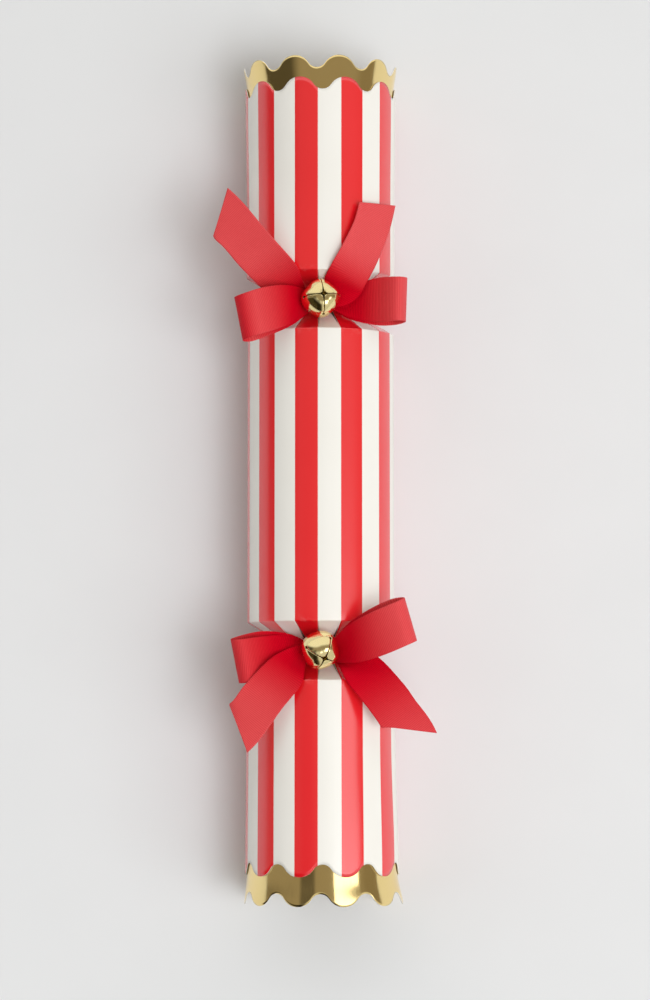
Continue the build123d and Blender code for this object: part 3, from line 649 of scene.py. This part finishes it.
def ribbonSet(piece):
    # The ribbon's middle follows the curve, its width lies along the turned direction, and where it is
    # gathered it stands in a fold, a cosine across the width whose height grows as the gather closes.
    path = throughPlaces(ribbonPlaces(piece), bow["steps"])
    middle, gather = path[:, :3], path[:, 5]
    yaw, roll = np.radians(path[:, 3]), np.radians(path[:, 4])
    wide = np.stack([np.cos(yaw) * np.cos(roll), np.sin(yaw) * np.cos(roll), np.sin(roll)], -1)
    ahead = np.gradient(middle, axis=0)
    ahead /= np.linalg.norm(ahead, axis=1, keepdims=True)
    up = np.cross(ahead, wide)
    up /= np.linalg.norm(up, axis=1, keepdims=True)
    c = np.linspace(-0.5, 0.5, bow["acrossSteps"])[None, :, None]
    tight = np.clip(1 - gather, 0, 1)[:, None, None]
    fold = piece["depth"] * tight * bow["foldHeight"] * np.cos(2 * np.pi * c + piece["phase"])
    flat = ease((gather[:, None, None] - bow["cupFrom"]) / (1 - bow["cupFrom"]))
    cup = piece["cup"] * (4 * c**2 - bow["cupLevel"]) * flat
    span = (bow["width"] * gather)[:, None, None]
    grid = middle[:, None] + wide[:, None] * c * span + up[:, None] * (fold + cup)
    run = np.concatenate([[0], np.cumsum(np.linalg.norm(np.diff(middle, axis=0), axis=1))])
    skew = (wide * ahead).sum(1)[:, None] * (c * span)[..., 0]
    square = np.sqrt(np.maximum(1 - (wide * ahead).sum(1) ** 2, 0.05))[:, None]
    over = np.where(gather[:, None] < 1, c[..., 0] * bow["width"], (c * span)[..., 0] * square)
    uv = np.stack([over * mm, (run[:, None] + skew) * mm], -1)
    # painted shade: full near the knot and fading out over the piece's reach, and around the middle of a
    # loop, its turn
    fromKnot = np.minimum(run, run[-1] - run) if "stop" in piece else run
    paintedShade = 1 - ease((fromKnot - bow["paintedShadeHold"] * piece["paintedShadeReach"]) / piece["paintedShadeReach"])
    fromTurn = (run - run[-1] / 2) / piece.get("paintedShadeTurnReach", bow["paintedShadeTurnReach"])
    paintedShade = np.maximum(paintedShade, piece.get("turn", 0.0) * np.exp(-(fromTurn**2)))
    return (grid[None], uv[None], paintedShade[None, :, None]), run[-1]


for name, piece in bowPieces.items():
    end = name.split("_")[0]
    ribbon, length = ribbonSet(piece)
    ribbonPiece = skin(name + "Ribbon", [ribbon] if end == "upper" else mirrored([ribbon]))
    thicken(ribbonPiece, bow["cloth"], 0.0)
    dress(ribbonPiece, end + "_end", "red_ribbon", (grosgrain,), name)
    print(name, "ribbon length", round(float(length), 1), "mm")


# Neck ties and knots, the same ribbon bunched, painted deeper red all over as shade
tie = {
    "inner": 9.85, "core": 12.95, "edge": 13.6, "outer": 13.95, "half": 2.15, "pleat": 0.22, "ridges": 5.0,
    "sink": 0.1, "wander": ((2, 1.3, 0.7), (5, 0.6, 0.0)),
    "aroundSteps": 145, "outsideSteps": 37, "insideSteps": 8,
}


def tieSet():
    # a ring whose section is a V inside and a bow outside, with ridges that wander as they go round
    ring = np.linspace(0, 2 * np.pi, tie["aroundSteps"])[None, :, None]
    t = np.linspace(0, 1, tie["outsideSteps"])
    inner = np.array([tie["inner"], 0.0])
    left, right = np.array([tie["edge"], -tie["half"]]), np.array([tie["edge"], tie["half"]])
    arch = np.sin(np.pi * t)
    swell = np.stack([tie["edge"] + (tie["outer"] - tie["edge"]) * arch, tie["half"] * (2 * t - 1)], -1)
    v = np.linspace(0, 1, tie["insideSteps"] + 1)[1:, None]
    section = np.concatenate([swell, right + (inner - right) * v, inner + (left - inner) * v])
    outside = np.concatenate([arch, np.zeros(2 * tie["insideSteps"])])[None, None, :]
    radius, along = section[None, None, :, 0], section[None, None, :, 1]
    wander = sum(size * np.sin(count * ring + phase) for count, size, phase in tie["wander"])
    ridges = np.cos(tie["ridges"] * np.pi * along / (2 * tie["half"]) + wander)
    radius = radius + (tie["pleat"] * ridges - tie["sink"]) * outside
    grid = cracker(np.degrees(ring), radius, bow["neck"] + along)
    uv = joined(along * mm, ring * tie["outer"] * mm)
    # the whole tie takes the ribbon's painted shade, deeper red with less shine
    return grid, uv, np.ones((1, 1, 1))


knot = {
    "half": 4.2, "bar": 0.9, "barHalf": 0.9, "radius": 3.0, "endRadius": 2.2, "shoulder": 0.12,
    "pleat": 0.16, "ridges": 7, "wind": 1.4, "alongSteps": 61, "aroundSteps": 73,
}


def knotSet():
    # turned about the knot's strand: thin in the middle for the bell's loop, round on each side, with
    # slightly wound ridges
    x = np.linspace(-knot["half"], knot["half"], knot["alongSteps"])
    lobe = np.clip((np.abs(x) - knot["barHalf"]) / (knot["half"] - knot["barHalf"]), 0, 1)
    body = knot["bar"] + (knot["endRadius"] - knot["bar"]) * ease(lobe / knot["shoulder"])
    body = body + (knot["radius"] - knot["endRadius"]) * np.sin(np.pi * lobe)
    x = np.concatenate([[-knot["half"]], x, [knot["half"]]])[None, :, None]
    body = np.concatenate([[0], body, [0]])[None, :, None]
    lobe = np.concatenate([[0], lobe, [0]])[None, :, None]
    turn = np.linspace(0, 2 * np.pi, knot["aroundSteps"])[None, None, :]
    ridge = knot["pleat"] * np.sin(np.pi * lobe) * np.cos(knot["ridges"] * turn + knot["wind"] * x)
    radius = body + ridge
    grid = joined(x, bow["neck"] + radius * np.sin(turn), bow["knotHeight"] + radius * np.cos(turn))
    uv = joined(turn * knot["radius"] * mm, x * mm)
    # the whole knot takes the ribbon's painted shade, deeper red with less shine
    return grid, uv, np.ones((1, 1, 1))


def atNeck(points, height):
    # the point at a height above the neck of the end that the points belong to
    return np.array([0, np.sign(points[0, 1]) * bow["neck"], height])


def knotMiddle(points):
    # the nearest point on the strand
    return points * np.array([1.0, 0, 0]) + atNeck(points, bow["knotHeight"])


def tieMiddle(points):
    # the nearest point on a ring inside the tie
    out = points - axisPoint(points)
    ring = out / np.linalg.norm(out, axis=1, keepdims=True) * tie["core"]
    return ring + atNeck(points, wrap["axis"])


for end in ("upper", "lower"):
    for form, made, middle in (("neck_tie", tieSet, tieMiddle), ("knot", knotSet, knotMiddle)):
        sets = [made()]
        bunch = skin(end + "_" + form + "Ribbon", sets if end == "upper" else mirrored(sets), middle)
        dress(bunch, end + "_end", "red_ribbon", (grosgrain,), end + "_" + form)
print("bows tied")


# Jingle bells
bell = {
    "radius": 6.7, "wall": 0.45, "height": 54.2, "slotHalf": 0.12, "holeRadius": 0.48, "holeAngle": 69.0,
    "mouth": 8.0, "star": 0.75, "starReach": 0.95, "turnIn": 0.3, "turnInReach": 0.35,
    "square": 0.7, "squareEnd": 2.7, "squareFade": 0.9, "corner": 1.045,
    "lean": {"upper": (8.0, 10.0), "lower": (29.0, 16.0)}, "spin": {"upper": 4.0, "lower": 20.0},
    "polarSteps": (22, 19, 30), "acrossSteps": 29,
}


def bellSet(end):
    # A ball in four quarters from the petals' meeting point down to the far pole. Each quarter's sides
    # stand back by half a slot, which opens into a star where the petals meet and ends in a round hole;
    # past the hole the sides are welded. Round its girth the ball is a superellipse with its corners at
    # the slots.
    hole = np.radians(bell["holeAngle"])
    wide = bell["holeRadius"] / bell["radius"]
    above, beside, below = bell["polarSteps"]
    polar = np.concatenate([np.linspace(np.radians(bell["mouth"]), hole - wide, above, endpoint=False),
                            hole - wide * np.cos(np.linspace(0, np.pi, beside)),
                            np.linspace(hole + wide, np.pi, below)[1:]])
    off = (polar - hole) * bell["radius"]
    roundEnd = np.sqrt(np.maximum(bell["holeRadius"] ** 2 - off**2, 0))
    slot = bell["slotHalf"] + bell["star"] * np.exp(-polar * bell["radius"] / bell["starReach"])
    half = np.where(polar < hole, np.maximum(roundEnd, slot), roundEnd)
    half = np.where(np.abs(off) > bell["holeRadius"] - 1e-6, np.where(polar < hole, slot, 0), half)
    back = half / (bell["radius"] * np.maximum(np.sin(polar), 0.02))
    a = np.linspace(0, 1, bell["acrossSteps"])[None, None, :]
    quarter = np.arange(4)[:, None, None]
    back, polar = back[None, :, None], polar[None, :, None]
    around = quarter * np.pi / 2 + back + a * (np.pi / 2 - 2 * back)
    squared = np.sin(polar) ** 2 * ease((bell["squareEnd"] - polar) / bell["squareFade"])
    power = 2 + bell["square"] * squared
    facet = np.abs(np.cos(around - np.pi / 4)) ** power + np.abs(np.sin(around - np.pi / 4)) ** power
    girth = (1 + (bell["corner"] * 2 ** (1 / power - 0.5) - 1) * squared) * facet ** (-1 / power)
    radius = bell["radius"] * girth - bell["turnIn"] * np.exp(-((polar / bell["turnInReach"]) ** 2))
    reach = radius * np.sin(polar)
    ball = joined(reach * np.cos(around), reach * np.sin(around), radius * np.cos(polar))
    lean, aside = np.radians(bell["lean"][end])
    spin = np.radians(bell["spin"][end])
    turn = np.array([[np.cos(spin), -np.sin(spin), 0], [np.sin(spin), np.cos(spin), 0], [0, 0, 1]])
    tip = np.array([[1, 0, 0], [0, np.cos(lean), np.sin(lean)], [0, -np.sin(lean), np.cos(lean)]])
    tilt = np.array([[np.cos(aside), 0, np.sin(aside)], [0, 1, 0], [-np.sin(aside), 0, np.cos(aside)]])
    grid = ball @ (tilt @ tip @ turn).T + np.array([0, bow["neck"], bell["height"]])
    uv = joined(around / (2 * np.pi), polar / np.pi)
    return grid, uv, np.zeros((1, 1, 1))


def bellMiddle(points):
    return atNeck(points, bell["height"]) + 0 * points


for end in ("upper", "lower"):
    sets = [bellSet(end)]
    shell = skin(end + "BellShell", sets if end == "upper" else mirrored(sets), bellMiddle)
    thicken(shell, bell["wall"], -1.0)
    dress(shell, end + "_bell", "bell_brass", (bellBrass,), end + "_bell_shell")
print("bells made")


# Contents: the rolled paper hat and slip in the barrel
rolls = {
    "paper_crown": {
        "core": 5.4, "turns": 3, "pitch": 0.7, "from": -46.0, "length": 92.0, "points": 12, "depth": 8.0,
        "middle": (-9.38, 12.14), "slot": "crown_tissue", "finish": redTissue, "sheet": 0.12},
    "motto_slip": {
        "core": 2.6, "turns": 2, "pitch": 0.5, "from": -51.0, "length": 52.0, "points": 0, "depth": 0.0,
        "middle": (13.76, 10.76), "slot": "motto_paper", "finish": plainPaper, "sheet": 0.12},
}
rolling = {"turnSteps": 60, "alongSteps": 24, "crease": 0.06, "creaseTurn": 9, "creaseAlong": 14}


def rollSet(roll):
    # a spiral that widens by the pitch each turn, drawn out along the barrel, with a zigzag far edge
    # where it has points
    turn = np.linspace(0, 2 * np.pi * roll["turns"], rolling["turnSteps"] * roll["turns"] + 1)[None, :, None]
    share = np.linspace(0, 1, rolling["alongSteps"])[None, None, :]
    zigzag = np.abs((turn * roll["points"] / turn.max()) % 1 * 2 - 1)
    along = roll["from"] + (roll["length"] - roll["depth"] * (1 - zigzag)) * share
    crease = rolling["crease"] * np.sin(rolling["creaseTurn"] * turn + rolling["creaseAlong"] * share)
    radius = roll["core"] + roll["pitch"] * turn / (2 * np.pi) + crease
    x, z = roll["middle"]
    grid = joined(x + radius * np.sin(turn), along, z - radius * np.cos(turn))
    uv = joined(turn * roll["core"] * mm, along * mm)
    return grid, uv, np.zeros((1, 1, 1))


for node, roll in rolls.items():
    rolled = skin(node + "Roll", [rollSet(roll)])
    thicken(rolled, roll["sheet"], 0.0)
    dress(rolled, "barrel", roll["slot"], (roll["finish"],), node)
print("contents rolled")


# CAD pieces that stay as they are get their finish
keptFinishes = {
    "barrel_core_tube": greyCard, "upper_snap_strip": buffCard, "lower_snap_strip": buffCard,
    "snap_charge_patch": greyCoat, "snap_abrasive_patch": gritCoat, "snap_sleeve": plainPaper,
    "spinning_top": waxedWood, "upper_bell_loop": bellBrass, "lower_bell_loop": bellBrass,
    "upper_bell_pellet": pelletSteel, "lower_bell_pellet": pelletSteel,
}
for node, finish in keptFinishes.items():
    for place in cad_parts[node].material_slots:
        place.material = finish
print("kept pieces finished")


# Floor and light: a pale table, a soft lamp overhead, one to the right, a weak one to the left, a dim room
table = {
    "half": 40000.0, "level": -0.02, "tone": (232, 233, 235), "toneLow": (229, 230, 232), "cloud": 30.0,
    "rough": 0.6,
}
across = np.array([-table["half"], table["half"]])
plane = joined(across[None, :, None], across[None, None, :], np.full((1, 1, 1), table["level"]))
floor = skin("floor", [(plane, plane[..., :2] * mm, np.zeros((1, 1, 1)))])
tableTop, tree, shader = finishFor("tableTop")
cloud = noise(tree, add(tree, "ShaderNodeTexCoord").outputs["Object"], table["cloud"])
feed(tree, shader, Base_Color=between(tree, cloud, paint(*table["toneLow"]), paint(*table["tone"])),
     Roughness=table["rough"])
floor.data.materials.append(tableTop)

# The room's colours, and where each begins and ends in the direction looked in: x right, y far, z up. A
# stand on the left dims the near half.
room = {
    "ceiling": (0.30, 0.26, 0.20), "rightWall": (0.24, 0.20, 0.14), "leftWall": (0.08, 0.07, 0.05),
    "farEnd": (0.88, 0.87, 0.84), "nearEnd": (0.62, 0.61, 0.58), "corner": (0.05, 0.04, 0.02),
    "ceilingLean": 0.21, "ceilingUp": (0.56, 0.74), "wallAcross": (-0.1, 0.1), "leftWallLit": (0.01, 0.045),
    "farAlong": (0.35, 0.55), "nearAlong": (-0.22, -0.08), "cornerAcross": (-0.08, 0.12),
    "cornerUp": (0.8, 0.9), "standAcross": -0.36, "standHalf": (0.14, 0.20), "standLight": 0.36,
}
world = bpy.data.worlds.new("room")
bpy.context.scene.world = world
world.use_nodes = True
tree = world.node_tree
facing = add(tree, "ShaderNodeSeparateXYZ", {0: add(tree, "ShaderNodeTexCoord").outputs["Generated"]}).outputs
ceiling, rightWall, leftWall, farEnd, nearEnd, corner = (
    (*room[part], 1.0) for part in ("ceiling", "rightWall", "leftWall", "farEnd", "nearEnd", "corner"))
height = calc(tree, "ADD", facing[2], calc(tree, "MULTIPLY", facing[0], room["ceilingLean"]))
lowerHalf = ranged(tree, facing[1], *room["leftWallLit"], 1.0, 0.0)  # the left wall's lit near half
leftSide = between(tree, lowerHalf, leftWall, ceiling)
sides = between(tree, ranged(tree, facing[0], *room["wallAcross"], 0.0, 1.0), leftSide, rightWall)
middle = between(tree, ranged(tree, height, *room["ceilingUp"], 0.0, 1.0), sides, ceiling)
leftOf = ranged(tree, facing[0], *room["cornerAcross"], 1.0, 0.0)
inCorner = calc(tree, "MULTIPLY", leftOf, ranged(tree, facing[2], *room["cornerUp"], 1.0, 0.0))
near = between(tree, inCorner, nearEnd, corner)
middle = between(tree, ranged(tree, facing[1], *room["nearAlong"], 1.0, 0.0), middle, near)
light = between(tree, ranged(tree, facing[1], *room["farAlong"], 0.0, 1.0), middle, farEnd)
offStand = calc(tree, "ABSOLUTE", calc(tree, "SUBTRACT", facing[0], room["standAcross"]))
onStand = calc(tree, "MULTIPLY", ranged(tree, offStand, *room["standHalf"], 1.0, 0.0), lowerHalf)
dim = calc(tree, "SUBTRACT", 1.0, calc(tree, "MULTIPLY", onStand, 1.0 - room["standLight"]))
feed(tree, tree.nodes["Background"], Color=light, Strength=dim)

lampColour = (0.955, 0.98, 1.0)
lamps = {
    "overhead": {"place": (640.0, -450.0, 2330.0), "aim": (0.0, 0.0, 0.0), "size": (1.1, 1.1),
                 "power": 25.0, "shine": False},
    "left": {"place": (-1800.0, 0.0, 1600.0), "aim": (0.0, 0.0, 0.0), "size": (1.6, 1.6),
             "power": 6.0, "shine": False},
    "side": {"place": (1780.0, -760.0, 2410.0), "aim": (0.0, -760.0, 0.0), "size": (1.45, 2.1),
             "power": 20.5, "shine": True},
}
for name, lamp in lamps.items():
    lampData = bpy.data.lights.new(name, "AREA")
    lampData.shape = "RECTANGLE"
    lampData.size, lampData.size_y = lamp["size"]
    lampData.energy = lamp["power"]
    lampData.color = lampColour
    lampObject = bpy.data.objects.new(name, lampData)
    bpy.context.scene.collection.objects.link(lampObject)
    lampObject.location = Vector(lamp["place"]) * mm
    shineAlong = Vector(lamp["aim"]) - Vector(lamp["place"])
    lampObject.rotation_euler = shineAlong.to_track_quat("-Z", "Y").to_euler()
    lampObject.visible_glossy = lamp["shine"]  # only the side lamp is seen in the gold
print("table and light set")
